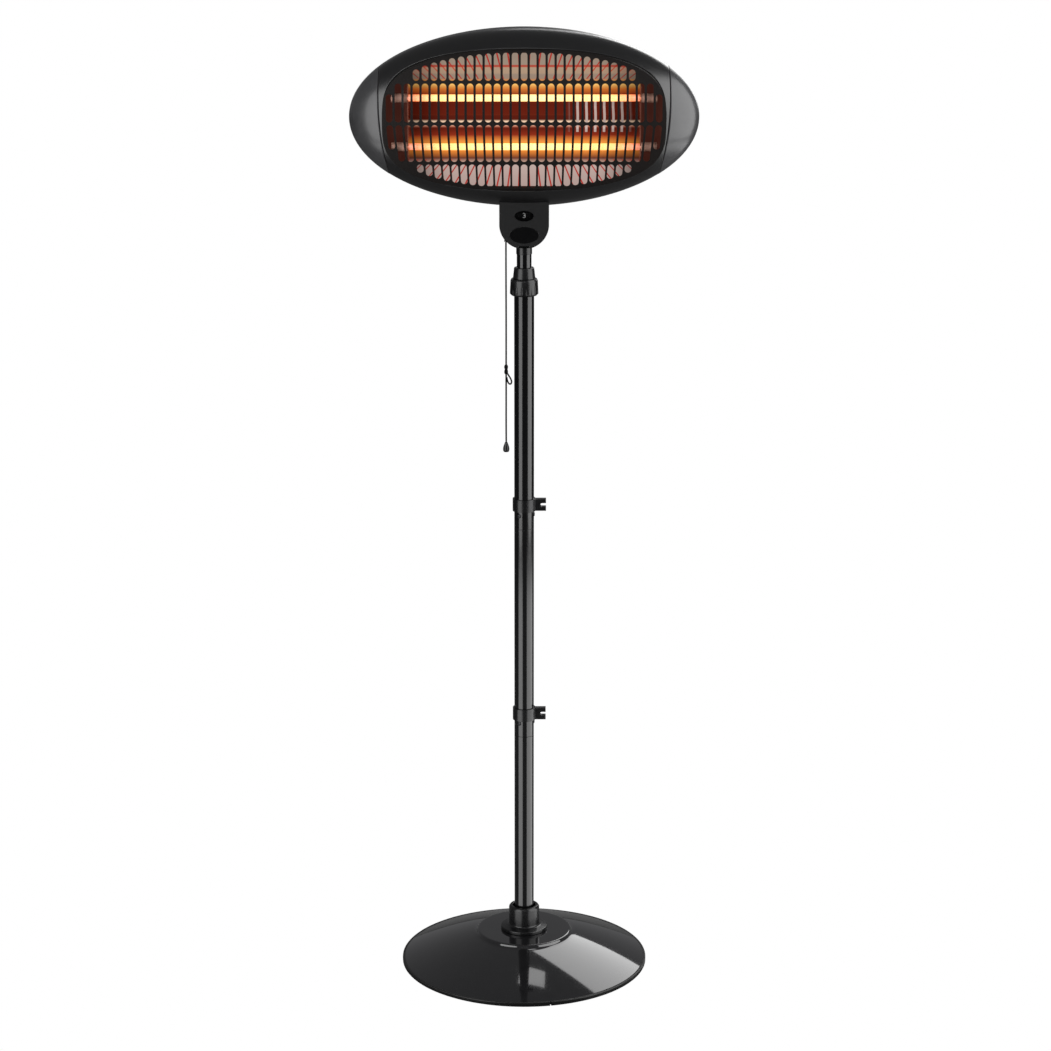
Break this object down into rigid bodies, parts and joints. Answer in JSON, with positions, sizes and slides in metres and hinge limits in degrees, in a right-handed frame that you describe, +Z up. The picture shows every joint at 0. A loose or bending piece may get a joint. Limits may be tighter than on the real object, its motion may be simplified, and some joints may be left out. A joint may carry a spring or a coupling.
{
  "type": "patio heater",
  "caption": "Free-standing electric patio heater: round weighted base, three-part pole with telescopic mast, and a tilting oval head with quartz elements.",
  "frame": {"origin": "centre of the base on the floor, under the pole", "axes": "+Z up along the pole, -Y the way the heating face looks, +X to the right seen from the front"},
  "size_m": [0.62, 0.4599, 1.759],
  "materials": {
    "black_enamel": "gloss",
    "black_trim": "satin",
    "black_plastic": "satin",
    "box_plastic": "matte",
    "black_steel": "satin",
    "zinc_steel": "satin",
    "black_screw": "satin",
    "rubber_pad": "matte",
    "cement": "matte",
    "bezel_lacquer": "gloss",
    "cap_lacquer": "gloss",
    "window_plastic": "gloss",
    "badge_gloss": "gloss",
    "drum_plastic": "matte",
    "cord_braid": "matte",
    "dull_aluminium": "satin",
    "white_ceramic": "matte",
    "quartz_glass": "satin",
    "hot_wire": "matte",
    "mirror_aluminium": "gloss",
    "grille_black": "satin"
  },
  "bodies": {
    "stand": {"base_feet": "rubber_pad", "base_bottom_plate": "black_steel", "base_weight": "cement", "base_edge_trim": "black_trim", "base_cover": "black_enamel", "pole_socket": "black_steel", "socket_screws": "zinc_steel", "socket_nuts": "zinc_steel", "socket_cover": "black_plastic", "lower_pole": "black_enamel", "middle_pole": "black_enamel", "upper_pole": "black_enamel", "lower_pole_sleeve": "black_steel", "upper_pole_sleeve": "black_steel", "pole_screws": "black_screw", "lower_cable_clip": "black_plastic", "upper_cable_clip": "black_plastic", "lock_collet": "black_plastic", "lock_cone": "black_plastic"},
    "nut": {"locking_nut": "black_plastic"},
    "bush": {"guide_bush": "black_plastic"},
    "mast": {"inner_tube": "black_enamel", "neck_adapter": "box_plastic"},
    "drum": {"indicator_drum": "drum_plastic"},
    "slider": {"pull_slider": "zinc_steel"},
    "cord": {"pull_cord_upper": "cord_braid", "cord_knot": "cord_braid", "cord_loop": "cord_braid", "pull_cord_lower": "cord_braid", "pull_knob": "black_plastic"},
    "head": {"tilt_bracket": "black_steel", "bracket_screws": "zinc_steel", "tilt_bolt": "zinc_steel", "tilt_nut": "zinc_steel", "rear_shell": "black_steel", "head_screws": "black_screw", "front_bezel": "bezel_lacquer", "left_end_cap": "cap_lacquer", "right_end_cap": "cap_lacquer", "box_screws": "black_screw", "control_box_front": "box_plastic", "control_box_back": "box_plastic", "window_lens": "window_plastic", "badge_plate": "badge_gloss", "cable_gland": "black_plastic", "tip_over_switch": "black_plastic", "switch_body": "black_plastic", "cord_bush": "black_plastic", "chassis_plate": "black_steel", "left_element_bracket": "dull_aluminium", "right_element_bracket": "dull_aluminium", "ceramic_caps": "white_ceramic", "upper_quartz_tube": "quartz_glass", "lower_quartz_tube": "quartz_glass", "upper_heating_coil": "hot_wire", "lower_heating_coil": "hot_wire", "reflector": "mirror_aluminium", "terminal_block": "white_ceramic", "grille": "grille_black", "grille_band": "grille_black"}
  },
  "joints": [
    {"name": "nut_turn", "type": "hinge", "parent": "stand", "child": "nut", "pos_m": [0, 0, 1.294], "axis": [0, 0, 1], "range_deg": [0, 180]},
    {"name": "mast_slide", "type": "slide", "parent": "stand", "child": "bush", "axis": [0, 0, 1], "range_m": [-0.018, 0.3]},
    {"name": "mast_swivel", "type": "hinge", "parent": "bush", "child": "mast", "pos_m": [0, 0, 1.3], "axis": [0, 0, 1], "range_deg": [-90, 90]},
    {"name": "head_tilt", "type": "hinge", "parent": "mast", "child": "head", "pos_m": [0, 0, 1.386], "axis": [1, 0, 0], "range_deg": [-10, 30]},
    {"name": "drum_turn", "type": "hinge", "parent": "head", "child": "drum", "pos_m": [0, -0.017, 1.427], "axis": [1, 0, 0], "continuous": true},
    {"name": "pull_slide", "type": "slide", "parent": "head", "child": "slider", "axis": [0, 0, -1], "range_m": [0, 0.012], "stiffness_N_per_m": 300, "springref_m": -0.004},
    {"name": "cord_swing", "type": "hinge", "parent": "slider", "child": "cord", "pos_m": [-0.0325, -0.008, 1.377], "axis": [1, 0, 0], "range_deg": [-32, 32]}
  ],
  "couplings": [
    {"joint": "cord_swing", "follows": "head_tilt", "ratio": -1}
  ]
}
